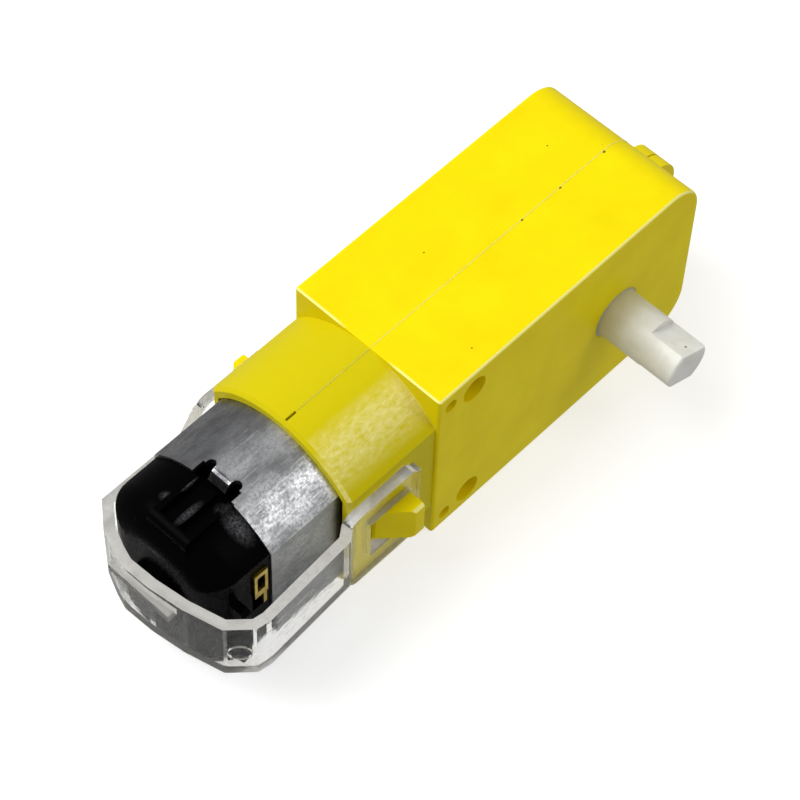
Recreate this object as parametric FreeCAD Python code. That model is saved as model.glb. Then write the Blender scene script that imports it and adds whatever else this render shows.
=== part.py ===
import FreeCAD, Part
import math
import os

# Geared DC motor for small wheeled robots: a two-shell plastic gearbox, a four-stage gear train with a
# ratio of 48 to 1, and a 130-size brushed motor held by a clear plastic strap. Millimetres.
# The model is drawn about the case's parting plane, y = 0, with the output shaft's axis at x = z = 0:
# +X points to the mounting tab, the output shaft leaves towards -Y, and +Z is up as the motor lies on its
# long narrow side. On export it moves so that the origin is where the shaft leaves the right-hand face.

# Gearbox case
CASE_WIDTH = 18.6
CASE_HEIGHT = 22.6
CASE_FRONT = 11.2
CASE_REAR = -25.6
CORNER_R = 4.4
EDGE_R = 0.35
WALL = 1.4
RIGHT_FACE = -CASE_WIDTH / 2
LEFT_FACE = CASE_WIDTH / 2
PARTING_Y = -0.45
CAVITY_Y = CASE_WIDTH / 2 - WALL
CAVITY_Z = CASE_HEIGHT / 2 - 1.5
CAVITY_FRONT = 9.8
CAVITY_REAR = -23.9

# Collar that holds the motor, and its two hooks
COLLAR_R = CASE_HEIGHT / 2 - 0.1
COLLAR_FLAT = 8.95
COLLAR_END = -36.9
COLLAR_CHAMFER = 0.35
COLLAR_BORE_FLAT = 8.05
SEAM_SLOT_X = (COLLAR_END + 0.4, COLLAR_END + 1.7)
SEAM_SLOT_WIDTH = 0.26
HOOK_X = (-33.9, -30.0)
HOOK_HALF_Z = 2.3
HOOK_OUT = 12.0
HOOK_TOP = 1.15
HOOK_SUNK = 0.3
HOOK_STEP = 0.5
HOOK_CHAMFER = 0.3

# Mounting features
HOLE_X = -20.8
HOLE_Z = 8.75
HOLE_R = 1.5
POST_R = 2.6
MARK_X = -24.0
MARK_Z = 9.35
MARK_R = 0.75
MARK_DEPTH = 1.0
TAB_END = 16.8
TAB_HALF = 1.8
TAB_SPLIT = 0.2
TAB_HALF_Z = 3.6
TAB_HOLE_X = 13.9
TAB_HOLE_R = 1.5
PEG_X = -10.6
PEG_R = 2.0
PEG_LENGTH = 2.0

# Case screws, driven from the left side
SCREW_R = 0.82
SCREW_HOLE_R = 0.85
SCREW_HEAD_R = 1.4
SCREW_HEAD_T = 1.0
SCREW_SUNK = 0.2
SCREW_CROSS_ARM = 0.9
SCREW_CROSS_HALF = 0.17
SCREW_CROSS_DEPTH = 0.6
SCREW_END_Y = -5.0
SCREW_PLACES = ((MARK_X, MARK_Z), (MARK_X, -MARK_Z), (8.5, 8.5))
SCREW_BOSS_R = 2.2

# Motor: a can with two flats, its end bell, and the strap behind it
CAN_R = 10.05
CAN_FLAT = 7.55
CAN_WALL = 0.6
CAN_END = -45.5
CAN_ROUND = 0.5
CAN_NOSE_R = 3.05
CAN_NOSE_X = -24.2
SEAT_GAP = 0.05
BELL_R = 9.75
BELL_FLAT = 7.3
BELL_END = -52.5
BELL_ROUND = 3.2
BELL_PLUG = -43.3
BOSS_R = 3.2
BOSS_END = -53.2
BUSH_SEAT_X = -50.9
TAIL_X = -53.6
RIB_X = (-50.5, -49.5)
RIB_OUT = 8.9
RIB_Z = (-4.9, 3.2)
RIB_ROUND = 0.6
BELL_ROOM_X = CAN_END - 3.2
BELL_ROOM_R = 6.4
BELL_ROOM_Y = 6.0
PAD_INSET = 0.9
PAD_Y = (-2.9, 2.0)
PAD_GROOVES = ((-0.3, 1.35), (-2.4, -1.1))
PAD_RISE = 0.25
PAD_ROUND = 0.8
GROOVE_START = 1.9
GROOVE_DEPTH = 0.8
LUG_X = (-47.7, -46.05)
LUG_Z = (1.3, 5.1)
FOOT_Z = (-1.0, 1.7)
LUG_T = 0.3
EYE_X = (-47.35, -46.4)
EYE_Z = (2.2, 4.5)
LEAF_Y = (4.0, 4.3)
LEAF_END = -44.6
LEAF_TOP = 1.2
FOOT_T = 0.4
BRUSH_X = (-46.0, -44.8)
BRUSH_HALF_Z = 0.9
CRIMP_HALF = 2.45
CRIMP_X = -44.1
LIP_POINTS = ((0.2, 0.0), (-0.3, 0.15), (-0.8, 1.0), (-0.4, 1.25), (0.2, 0.5), (0.2, 0.0))
SLIT_Y = 1.65
SLIT_R = 0.5
SLIT_X = -43.9

# Strap
STRAP_T = 1.1
STRAP_INNER = COLLAR_FLAT + 0.1
STRAP_HALF_Z = 4.0
STRAP_MID_Z = 0.35
STRAP_SLOPE = 0.05
STRAP_LOOP_X = (-38.0, -28.7)
STRAP_LOOP_Z = {-1: (-5.8, 5.5), 1: (-6.0, 4.4)}
STRAP_LOOP_ROUND = 1.2
STRAP_TIP_BEVEL = 1.1
STRAP_WINDOW_X = (-35.3, -29.9)
STRAP_WINDOW_Z = (-3.0, 2.5)
STRAP_RIGHT = ((-39.2, -9.9), (-44.5, -10.2), (-49.5, -10.5), (-50.6, -10.3))
STRAP_REAR = ((-52.3, -8.6), (-53.2, -4.8), (-53.65, -1.0), (-53.7, 2.2), (-53.2, 3.7), (-52.25, 5.8))
STRAP_LEFT = ((-50.6, 7.75), (-41.0, 7.75))
STRAP_BAR_Y = (-4.4, 3.4)
STRAP_BAR_X = (-55.45, -54.2)
STRAP_BAR_Z = 3.1
MARK_PLACE = (-52.16, -10.13, 0.5)
MARK_RADII = (1.2, 1.06)
MARK_SUNK = 0.12

# Gear train
MODULE = 0.5
PRESSURE_ANGLE = math.radians(25)
ADDENDUM = 0.8 * MODULE
DEDENDUM = 1.05 * MODULE
BACKLASH = 0.07
CENTRES = 12.0
IDLER_X = -CENTRES
PIN_R = 1.0
PIN_END = 8.7
RUNNING = 0.05
TEETH_OUTPUT = 32
TEETH_THIRD = (36, 16)
TEETH_SECOND = (36, 12)
TEETH_CROWN = (24, 12)
TEETH_PINION = 9
CROWN_RING = (5.3, 6.7)
CROWN_DISC_Y = (2.9, 4.3)
CROWN_TOOTH_Y = (1.95, 3.0)
CROWN_TOOTH_HALF = (0.16, 0.42)
CROWN_PINION_END = 7.2
CROWN_SLEEVE_END = -3.1
CROWN_SLEEVE_R = 2.0
SECOND_GEAR_Y = (-5.2, -3.0, 4.9, 6.7, 7.1)
SECOND_SLEEVE_R = 2.3
SECOND_HUB_R = 2.2
THIRD_GEAR_Y = (-7.6, -5.1, -3.3)
OUTPUT_GEAR_Y = (-7.5, -5.5)
SEAT_ROOM = 0.02
PIN_BOSS_R = 2.4
PIN_BOSSES = ((IDLER_X, 7.3, CAVITY_Y + 0.2), (0.0, 7.2, CAVITY_Y + 0.2), (IDLER_X, -CAVITY_Y - 0.2, -7.7))

# Output shaft
SHAFT_R = 2.7
SHAFT_FLATS = 3.7
SHAFT_ROUND = 5.1
SHAFT_LENGTH = 9.2
SHAFT_FLAT_TURN = 65.0
SHAFT_TIP_R = 2.69
SHAFT_CHAMFER = 0.15
JOURNAL_R = 2.9
SHAFT_BORE_DEPTH = 4.0
SHAFT_INNER_END = -5.45

# Motor's inside
MOTOR_SHAFT_R = 1.0
BUSH_R = 2.0
BUSH_ROOM = 0.03
ARMATURE_R = 6.4
ARMATURE_X = (-38.6, -30.4)
MAGNET_R_IN = 6.9
MAGNET_X = (-41.0, -28.6)
MAGNET_HALF_Y = 6.2
MAGNET_SIDE_Z = 3.2
CLIP_T = 0.3
CLIP_HALF_Z = 2.9
CORE_HUB_R = 2.2
STEM_HALF = 0.9
SHOE_T = 1.1
SHOE_HALF = 4.0
POLE_SPAN = 50.0
COIL_OVER = 1.3
COIL_Y = (2.5, 4.9)
COIL_HALF_Z = 1.9
COIL_ROUND = 1.0
COMMUTATOR_X = (-46.6, -43.2)
COMMUTATOR_R = 2.2
SEGMENT_T = 0.4
SEGMENT_SPAN = 56.0
FRONT_BUSH_X = (CASE_REAR - 0.9, CAN_NOSE_X)
REAR_BUSH_X = (BUSH_SEAT_X, CAN_END - 3.3)
MOTOR_SHAFT_X = (-51.1, -16.6)
PINION_X = (-19.2, -16.8)
WASHERS_X = ((-27.0, -26.6), (-48.6, -48.3))
WASHER_R = 1.9

ORIGIN_SHIFT = FreeCAD.Vector(0, CASE_WIDTH / 2, 0)
V = FreeCAD.Vector
X_AXIS = V(1, 0, 0)
Y_AXIS = V(0, 1, 0)


def box(x0, x1, y0, y1, z0, z1):
    """A box between two corners."""
    return Part.makeBox(x1 - x0, y1 - y0, z1 - z0, V(x0, y0, z0))


def rod_x(x0, x1, r, y=0.0, z=0.0):
    """A round rod along X."""
    return Part.makeCylinder(r, x1 - x0, V(x0, y, z), X_AXIS)


def rod_y(y0, y1, r, x=0.0, z=0.0):
    """A round rod along Y."""
    return Part.makeCylinder(r, y1 - y0, V(x, y0, z), Y_AXIS)


def ring_x(x0, x1, r_out, r_in):
    """A round sleeve along X."""
    return rod_x(x0, x1, r_out).cut(rod_x(x0, x1, r_in))


def flat_rod(x0, x1, r, flat):
    """A rod along X with two flats that face -Y and +Y."""
    return rod_x(x0, x1, r).common(box(x0, x1, -flat, flat, -r, r))


def fuse(shapes):
    """One solid from several that touch or overlap."""
    return shapes[0].multiFuse(shapes[1:]).removeSplitter()


def cut(shape, tools):
    """A shape less each tool."""
    return shape.cut(Part.makeCompound(tools))


def export(node, *solids):
    """Write a node's solids, moved to the part's own origin."""
    shape = solids[0] if len(solids) == 1 else Part.makeCompound(list(solids))
    if len(shape.Solids) == 1:
        shape = shape.Solids[0]
    moved = shape.copy()
    moved.translate(ORIGIN_SHIFT)
    moved.exportStep("parts/" + node + ".step")
    kinds = "valid" if moved.isValid() else "NOT VALID"
    print(node, len(moved.Solids), kinds, round(moved.Volume, 2))


# ---------------------------------------------------------------- gears


def involute_angle(base_r, r):
    """The angle that an involute has turned when it reaches a radius."""
    if r <= base_r:
        return 0.0
    slope = math.acos(base_r / r)
    return math.tan(slope) - slope


def tooth_flank(teeth):
    """Points (radius, half angle) up one flank of a tooth, from root to tip."""
    pitch_r = MODULE * teeth / 2
    base_r = pitch_r * math.cos(PRESSURE_ANGLE)
    root_r = pitch_r - DEDENDUM
    tip_r = pitch_r + ADDENDUM
    half = (math.pi * MODULE / 2 - BACKLASH) / (2 * pitch_r) + involute_angle(base_r, pitch_r)
    steps = 5
    start_r = max(base_r, root_r)
    flank = [(root_r, half)] if root_r < base_r else []
    for i in range(steps + 1):
        r = start_r + (tip_r - start_r) * i / steps
        flank.append((r, half - involute_angle(base_r, r)))
    return flank


def gear_y(teeth, y0, y1, phase_deg, x=0.0):
    """A spur gear along Y with the middle of one tooth at the phase angle from +X towards +Z."""
    flank = tooth_flank(teeth)
    points = []
    for k in range(teeth):
        middle = math.radians(phase_deg) + 2 * math.pi * k / teeth
        for r, half in flank:
            points.append(V(x + r * math.cos(middle - half), y0, r * math.sin(middle - half)))
        for r, half in reversed(flank):
            points.append(V(x + r * math.cos(middle + half), y0, r * math.sin(middle + half)))
    points.append(points[0])
    return Part.Face(Part.makePolygon(points)).extrude(V(0, y1 - y0, 0))


def gear_x(teeth, x0, x1):
    """A spur gear along X with one tooth pointing to +Y."""
    gear = gear_y(teeth, x0, x1, 180.0)
    gear.rotate(V(0, 0, 0), V(0, 0, 1), -90)
    return gear


def crown_ridge(angle_deg):
    """One tooth of the crown gear: a radial ridge that faces -Y."""
    tip_y, root_y = CROWN_TOOTH_Y
    tip_half, root_half = CROWN_TOOTH_HALF
    profile = [V(0, root_y, -root_half), V(0, tip_y, -tip_half), V(0, tip_y, tip_half),
               V(0, root_y, root_half), V(0, root_y, -root_half)]
    ridge = Part.Face(Part.makePolygon(profile)).extrude(V(CROWN_RING[1] - CROWN_RING[0], 0, 0))
    ridge.translate(V(CROWN_RING[0], 0, 0))
    ridge.rotate(V(0, 0, 0), Y_AXIS, -angle_deg)
    ridge.translate(V(IDLER_X, 0, 0))
    return ridge


def output_gear():
    """The gear on the output shaft: it seats on the shaft's two flats, against the journal's shoulder."""
    y0, y1 = OUTPUT_GEAR_Y
    blank = gear_y(TEETH_OUTPUT, y0, y1, 0.0)
    return blank.cut(shaft_seat(y0 - 1, y1 + 1, SHAFT_R, SEAT_ROOM))


def third_gear():
    """36 teeth driven by the second gear, and 16 teeth that drive the output gear."""
    y0, y1, y2 = THIRD_GEAR_Y
    large = gear_y(TEETH_THIRD[0], y1, y2, 0.0, IDLER_X)
    small = gear_y(TEETH_THIRD[1], y0, y1, 180.0 / TEETH_THIRD[1], IDLER_X)
    body = fuse([large, small])
    return body.cut(rod_y(y0 - 1, y2 + 1, PIN_R + RUNNING, IDLER_X))


def second_gear():
    """36 teeth driven by the crown gear's pinion, and 12 teeth at the far end of a long sleeve."""
    y0, y1, y2, y3, y4 = SECOND_GEAR_Y
    large = gear_y(TEETH_SECOND[0], y2, y3, 0.0)
    small = gear_y(TEETH_SECOND[1], y0, y1, 180.0 / TEETH_SECOND[1])
    sleeve = rod_y(y1, y2, SECOND_SLEEVE_R)
    hub = rod_y(y3, y4, SECOND_HUB_R)
    body = fuse([large, small, sleeve, hub])
    return body.cut(rod_y(y0 - 1, y4 + 1, PIN_R + RUNNING))


def crown_gear():
    """24 crown teeth driven by the motor's pinion, and the 12-tooth pinion that drives the second gear."""
    disc = rod_y(CROWN_DISC_Y[0], CROWN_DISC_Y[1], CROWN_RING[1], IDLER_X)
    step = 360.0 / TEETH_CROWN[0]
    ridges = [crown_ridge(step * (k + 0.5)) for k in range(TEETH_CROWN[0])]
    pinion = gear_y(TEETH_CROWN[1], CROWN_DISC_Y[1], CROWN_PINION_END, 180.0 / TEETH_CROWN[1], IDLER_X)
    sleeve = rod_y(CROWN_SLEEVE_END, CROWN_DISC_Y[0], CROWN_SLEEVE_R, IDLER_X)
    body = fuse([disc, pinion, sleeve] + ridges)
    return body.cut(rod_y(CROWN_SLEEVE_END - 1, CROWN_PINION_END + 1, PIN_R + RUNNING, IDLER_X))


# ---------------------------------------------------------------- gearbox case


def case_block():
    """The outer block, with large rounds on its two front edges and small ones along the others."""
    block = box(CASE_REAR, CASE_FRONT, RIGHT_FACE, LEFT_FACE, -CASE_HEIGHT / 2, CASE_HEIGHT / 2)
    front = [e for e in block.Edges if is_front_corner(e)]
    block = block.makeFillet(CORNER_R, front)
    outer = [e for e in block.Edges if on_side_face(e)]
    return block.makeFillet(EDGE_R, outer)


def is_front_corner(edge):
    """True for the two edges along Y at the front."""
    b = edge.BoundBox
    return b.YLength > 1 and b.XMin > CASE_FRONT - 0.01 and b.ZLength < 0.01


def on_side_face(edge):
    """True for the edges round the right-hand and left-hand faces."""
    b = edge.BoundBox
    return b.YLength < 0.01 and abs(abs(b.YMin) - CASE_WIDTH / 2) < 0.01


def collar(inner):
    """The sleeve behind the block, round with two flats: its outside, or its bore."""
    if inner:
        return flat_rod(COLLAR_END - 1, CASE_REAR, CAN_R + SEAT_GAP, COLLAR_BORE_FLAT)
    sleeve = flat_rod(COLLAR_END, CASE_REAR + 0.5, COLLAR_R, COLLAR_FLAT)
    rim = [e for e in sleeve.Edges if e.BoundBox.XLength < 0.01 and e.BoundBox.XMin < COLLAR_END + 0.01]
    return sleeve.makeChamfer(COLLAR_CHAMFER, rim)


def seam_slots():
    """A short slot in the collar at the parting plane, near its rear edge, top and bottom."""
    y0, y1 = PARTING_Y - SEAM_SLOT_WIDTH / 2, PARTING_Y + SEAM_SLOT_WIDTH / 2
    slot = box(SEAM_SLOT_X[0], SEAM_SLOT_X[1], y0, y1, CAN_R, COLLAR_R + 1)
    return [slot, slot.mirror(V(0, 0, 0), V(0, 0, 1))]


def hook(side):
    """The hook on one collar flat: a ramp that rises from the rear to a flat top with a straight front."""
    x0, x1 = HOOK_X
    seat = COLLAR_FLAT - HOOK_SUNK
    step = COLLAR_FLAT + HOOK_STEP
    outline = [V(x0, seat, 0), V(x1, seat, 0), V(x1, HOOK_OUT, 0), V(x1 - HOOK_TOP, HOOK_OUT, 0),
               V(x0, step, 0), V(x0, seat, 0)]
    block = Part.Face(Part.makePolygon(outline)).extrude(V(0, 0, 2 * HOOK_HALF_Z))
    block.translate(V(0, 0, -HOOK_HALF_Z))
    edges = [e for e in block.Edges if e.BoundBox.YMin > HOOK_OUT - 0.01 and e.BoundBox.ZLength < 0.01]
    block = block.makeChamfer(HOOK_CHAMFER, edges)
    if side < 0:
        block = block.mirror(V(0, 0, 0), Y_AXIS)
    return block


def tab():
    """The front tab: a leaf on each half of the case, a thin gap between them, and a cross hole."""
    start = CASE_FRONT - 0.5
    straight = TAB_END - TAB_HALF_Z
    y0, y1 = PARTING_Y - TAB_HALF, PARTING_Y + TAB_HALF
    plate = box(start, straight, y0, y1, -TAB_HALF_Z, TAB_HALF_Z)
    plate = fuse([plate, rod_y(y0, y1, TAB_HALF_Z, straight)])
    split = TAB_SPLIT / 2
    gap = box(CASE_FRONT + 0.6, TAB_END + 1, PARTING_Y - split, PARTING_Y + split, -TAB_HALF_Z, TAB_HALF_Z)
    return cut(plate, [gap, rod_y(y0, y1, TAB_HOLE_R, TAB_HOLE_X)])


def cavity():
    """The room for the gears, less the posts round the mounting holes, screws and motor seat."""
    room = box(CAVITY_REAR, CAVITY_FRONT, -CAVITY_Y, CAVITY_Y, -CAVITY_Z, CAVITY_Z)
    front = [e for e in room.Edges if e.BoundBox.YLength > 1 and e.BoundBox.XMin > CAVITY_FRONT - 0.01]
    room = room.makeFillet(CORNER_R - WALL, front)
    posts = []
    for sign in (-1, 1):
        posts.append(rod_y(-CAVITY_Y, CAVITY_Y, POST_R, HOLE_X, sign * HOLE_Z))
        corner = sorted((sign * (HOLE_Z - POST_R), sign * CASE_HEIGHT / 2))
        posts.append(box(CAVITY_REAR, HOLE_X, -CAVITY_Y, CAVITY_Y, corner[0], corner[1]))
    screw_x, screw_z = SCREW_PLACES[2]
    posts.append(rod_y(-CAVITY_Y, CAVITY_Y, SCREW_BOSS_R, screw_x, screw_z))
    return cut(room, posts)


def pin_bosses():
    """Short bosses on the inner walls that hold the pins and space the gears."""
    return [rod_y(y0, y1, PIN_BOSS_R, x) for x, y0, y1 in PIN_BOSSES]


def screw_holes():
    """Stepped holes for the case screws, from the left-hand face."""
    holes = []
    for x, z in SCREW_PLACES:
        holes.append(rod_y(SCREW_END_Y - 0.5, LEFT_FACE, SCREW_HOLE_R, x, z))
        holes.append(rod_y(LEFT_FACE - SCREW_HEAD_T - SCREW_SUNK, LEFT_FACE, SCREW_HEAD_R + RUNNING, x, z))
    return holes


def case_whole():
    """Both halves of the case as one, before it is split at the parting plane."""
    outside = fuse([case_block(), collar(False), tab(), hook(-1), hook(1)])
    hollow = cut(outside, [cavity(), collar(True), rod_x(CASE_REAR - 1, CAVITY_REAR + 1, CAN_NOSE_R + 0.1)])
    body = fuse([hollow] + pin_bosses())
    holes = [rod_y(RIGHT_FACE, LEFT_FACE, HOLE_R, HOLE_X, sign * HOLE_Z) for sign in (-1, 1)]
    marks = [rod_y(RIGHT_FACE, RIGHT_FACE + MARK_DEPTH, MARK_R, MARK_X, sign * MARK_Z) for sign in (-1, 1)]
    pins = [rod_y(-PIN_END, PIN_END, PIN_R, IDLER_X), rod_y(0, PIN_END, PIN_R)]
    journal = [rod_y(RIGHT_FACE - 1, 0, JOURNAL_R + RUNNING)]
    peg = rod_y(LEFT_FACE - 0.3, LEFT_FACE + PEG_LENGTH, PEG_R, PEG_X)
    body = cut(body, holes + marks + pins + journal + screw_holes() + seam_slots())
    return fuse([body, peg])


def half(body, side):
    """One half of the case."""
    reach = 60
    y0, y1 = (-reach, PARTING_Y) if side < 0 else (PARTING_Y, reach)
    return body.common(box(-reach, reach, y0, y1, -reach, reach))


def case_screw(x, z):
    """A small screw with a cross recess in its head."""
    seat = LEFT_FACE - SCREW_HEAD_T - SCREW_SUNK
    top = seat + SCREW_HEAD_T
    body = fuse([rod_y(SCREW_END_Y, seat + 0.1, SCREW_R, x, z), rod_y(seat, top, SCREW_HEAD_R, x, z)])
    arm = SCREW_CROSS_ARM
    slot = SCREW_CROSS_HALF
    floor = top - SCREW_CROSS_DEPTH
    cross = [box(x - arm, x + arm, floor, top, z - slot, z + slot),
             box(x - slot, x + slot, floor, top, z - arm, z + arm)]
    return cut(body, cross)


# ---------------------------------------------------------------- output shaft


def shaft_seat(y0, y1, r, grow):
    """A rod along Y with two flats, turned to the shaft's rest angle."""
    flat = SHAFT_FLATS / 2 + grow
    seat = rod_y(y0, y1, r + grow).common(box(-r - 1, r + 1, y0, y1, -flat, flat))
    seat.rotate(V(0, 0, 0), Y_AXIS, 90 - SHAFT_FLAT_TURN)
    return seat


def output_shaft():
    """Journal in the case, a round stretch, then two flats to the chamfered end."""
    end = RIGHT_FACE - SHAFT_LENGTH
    neck_end = RIGHT_FACE - SHAFT_ROUND
    tip = shaft_seat(end, neck_end, SHAFT_TIP_R, 0.0)
    cone = Part.makeCone(SHAFT_R - SHAFT_CHAMFER, SHAFT_R, SHAFT_CHAMFER, V(0, end, 0), Y_AXIS)
    tip = tip.common(fuse([cone, rod_y(end + SHAFT_CHAMFER, neck_end, SHAFT_R)]))
    neck = rod_y(neck_end, RIGHT_FACE, SHAFT_R)
    journal = rod_y(RIGHT_FACE, OUTPUT_GEAR_Y[0], JOURNAL_R)
    seat = shaft_seat(OUTPUT_GEAR_Y[0], SHAFT_INNER_END, SHAFT_R, 0.0)
    body = tip.fuse(neck).fuse(journal).fuse(seat)
    bore = rod_y(SHAFT_INNER_END - SHAFT_BORE_DEPTH, SHAFT_INNER_END, PIN_R + RUNNING)
    return body.cut(bore)


# ---------------------------------------------------------------- motor


def motor_can():
    """Drawn can with a nose, and two crimp openings in its open rim, top and bottom."""
    outer = flat_rod(CAN_END, CASE_REAR, CAN_R, CAN_FLAT)
    front = [e for e in outer.Edges if e.BoundBox.XMin > CASE_REAR - 0.01]
    outer = outer.makeFillet(CAN_ROUND, front)
    inner = flat_rod(CAN_END - 1, CASE_REAR - CAN_WALL, CAN_R - CAN_WALL, CAN_FLAT - CAN_WALL)
    nose = ring_x(CASE_REAR - 0.3, CAN_NOSE_X, CAN_NOSE_R, BUSH_R)
    hole = rod_x(CASE_REAR - 1, CASE_REAR + 1, BUSH_R)
    shell = fuse([cut(outer, [inner]), nose])
    openings = [hole]
    for side in (-1, 1):
        z0, z1 = sorted((side * (CAN_R - 2), side * (CAN_R + 1)))
        openings.append(box(CAN_END - 1, CRIMP_X, -CRIMP_HALF, CRIMP_HALF, z0, z1))
        for y in (-SLIT_Y, SLIT_Y):
            openings.append(box(CRIMP_X - 0.5, SLIT_X, y - SLIT_R, y + SLIT_R, z0, z1))
            openings.append(Part.makeCylinder(SLIT_R, z1 - z0, V(SLIT_X, y, z0), V(0, 0, 1)))
    shell = cut(shell, openings)
    lips = [crimp_lip(side) for side in (-1, 1)]
    return fuse([shell] + lips)


def crimp_lip(side):
    """The strip of rim between two slits, bent inwards over the end bell."""
    half_y = SLIT_Y - SLIT_R - 0.05
    top = CAN_R - 0.05
    outline = [V(CRIMP_X + along, 0, top - down) for along, down in LIP_POINTS]
    lip = Part.Face(Part.makePolygon(outline)).extrude(V(0, 2 * half_y, 0))
    lip.translate(V(0, -half_y, 0))
    if side < 0:
        lip = lip.mirror(V(0, 0, 0), V(0, 0, 1))
    return lip


def end_bell():
    """Black cap: a plug in the can, a rounded outside, a rear boss, ridged pads and one rib."""
    outside = flat_rod(BELL_END, CAN_END, BELL_R, BELL_FLAT)
    rear = [e for e in outside.Edges if e.BoundBox.XMax < BELL_END + 0.01]
    outside = outside.makeFillet(BELL_ROUND, rear)
    plug_r = CAN_R - CAN_WALL - SEAT_GAP
    plug_flat = CAN_FLAT - CAN_WALL - SEAT_GAP
    plug = flat_rod(CAN_END, BELL_PLUG, plug_r, plug_flat)
    boss = rod_x(BOSS_END, BELL_END + 1, BOSS_R)
    body = fuse([outside, plug, boss, bell_rib()] + [bell_pad(side) for side in (-1, 1)])
    cuts = [flat_rod(BELL_ROOM_X, BELL_PLUG, BELL_ROOM_R, BELL_ROOM_Y)]
    cuts.append(rod_x(BUSH_SEAT_X, BELL_PLUG, BUSH_R))
    cuts.append(rod_x(TAIL_X, BUSH_SEAT_X, MOTOR_SHAFT_R + 0.3))
    for side in (-1, 1):
        z0, z1 = sorted((side * (BELL_R + PAD_RISE - GROOVE_DEPTH), side * (BELL_R + 2)))
        for y0, y1 in PAD_GROOVES:
            cuts.append(box(BELL_END + GROOVE_START, CAN_END + 5, y0, y1, z0, z1))
        z0, z1 = sorted((side * (BELL_R - 1.7), side * (BELL_R + 2)))
        cuts.append(box(CAN_END - 0.2, BELL_PLUG + 1, -CRIMP_HALF, CRIMP_HALF, z0, z1))
        y0, y1 = sorted((side * 5.6, side * 9))
        cuts.append(box(LUG_X[0] - 0.1, LUG_X[1] + 0.1, y0, y1, FOOT_Z[0] - 0.1, LUG_Z[1] + 0.1))
    return cut(body, cuts)


def bell_pad(side):
    """The raised pad in line with the crimp, rounded at its rear end."""
    z0, z1 = sorted((side * (BELL_R - 2.6), side * (BELL_R + PAD_RISE)))
    pad = box(BELL_END + PAD_INSET, CAN_END, PAD_Y[0], PAD_Y[1], z0, z1)
    ends = [e for e in pad.Edges if e.BoundBox.YLength > 1 and e.BoundBox.XMax < BELL_END + 2]
    outer_end = [e for e in ends if e.BoundBox.ZMin * side > BELL_R]
    return pad.makeFillet(PAD_ROUND, outer_end)


def bell_rib():
    """The upright rib on the right flat, behind the terminal."""
    rib = box(RIB_X[0], RIB_X[1], -RIB_OUT, -BELL_FLAT + 0.3, RIB_Z[0], RIB_Z[1])
    tips = [e for e in rib.Edges if e.BoundBox.XLength > 0.5 and e.BoundBox.YMax < -RIB_OUT + 0.01]
    return rib.makeFillet(RIB_ROUND, tips)


def terminal(side):
    """Brass strip: a lug with an eye outside the end bell's flat, and a leaf that reaches the brush."""
    lug = box(LUG_X[0], LUG_X[1], BELL_FLAT, BELL_FLAT + LUG_T, LUG_Z[0], LUG_Z[1])
    lug = cut(lug, [box(EYE_X[0], EYE_X[1], BELL_FLAT - 1, BELL_FLAT + 1, EYE_Z[0], EYE_Z[1])])
    foot_x = LUG_X[1] - FOOT_T
    foot = box(foot_x, LUG_X[1], LEAF_Y[0], BELL_FLAT + 0.1, FOOT_Z[0], FOOT_Z[1])
    leaf = box(foot_x, LEAF_END, LEAF_Y[0], LEAF_Y[1], FOOT_Z[0], LEAF_TOP)
    strip = fuse([lug, foot, leaf])
    if side < 0:
        strip = strip.mirror(V(0, 0, 0), Y_AXIS)
    return strip


def brush(side):
    """A carbon block between the leaf and the commutator."""
    x0, x1 = BRUSH_X
    block = box(x0, x1, COMMUTATOR_R + RUNNING, LEAF_Y[0], -BRUSH_HALF_Z, BRUSH_HALF_Z)
    block = block.cut(rod_x(x0 - 1, x1 + 1, COMMUTATOR_R + RUNNING))
    if side < 0:
        block = block.mirror(V(0, 0, 0), Y_AXIS)
    return block


def magnet(side):
    """An arc magnet against the can's round side."""
    arc = ring_x(MAGNET_X[0], MAGNET_X[1], CAN_R - CAN_WALL - SEAT_GAP, MAGNET_R_IN)
    z0, z1 = sorted((side * MAGNET_SIDE_Z, side * CAN_R))
    return arc.common(box(MAGNET_X[0], MAGNET_X[1], -MAGNET_HALF_Y, MAGNET_HALF_Y, z0, z1))


def magnet_clip():
    """A bent steel leaf on the left flat that spreads the two magnets."""
    flat = CAN_FLAT - CAN_WALL
    return box(MAGNET_X[0] + 1, MAGNET_X[1] - 1, flat - CLIP_T, flat, -CLIP_HALF_Z, CLIP_HALF_Z)


def sector_x(shape, half_span, angle_deg):
    """The part of a shape within an angle either side of +Y, turned about the X axis."""
    reach = 9.0
    b = shape.BoundBox
    limit = box(b.XMin, b.XMax, 0.0, reach, -reach, reach)
    for turn in (90 - half_span, half_span - 90):
        side = limit.copy()
        side.rotate(V(0, 0, 0), X_AXIS, turn)
        shape = shape.common(side)
    shape.rotate(V(0, 0, 0), X_AXIS, angle_deg)
    return shape


def core_pole(angle_deg):
    """One pole of the core: a stem and a curved shoe."""
    x0, x1 = ARMATURE_X
    stem = box(x0, x1, 0.0, ARMATURE_R - SHOE_T / 2, -STEM_HALF, STEM_HALF)
    shoe = ring_x(x0, x1, ARMATURE_R, ARMATURE_R - SHOE_T)
    shoe = shoe.common(box(x0, x1, CORE_HUB_R, ARMATURE_R + 1, -SHOE_HALF, SHOE_HALF))
    return sector_x(fuse([stem, shoe]), POLE_SPAN, angle_deg)


def armature_core():
    """Laminated three-pole core on the motor shaft."""
    x0, x1 = ARMATURE_X
    hub = rod_x(x0, x1, CORE_HUB_R)
    poles = [core_pole(120 * k) for k in range(3)]
    return fuse([hub] + poles).cut(rod_x(x0 - 1, x1 + 1, MOTOR_SHAFT_R))


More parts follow.
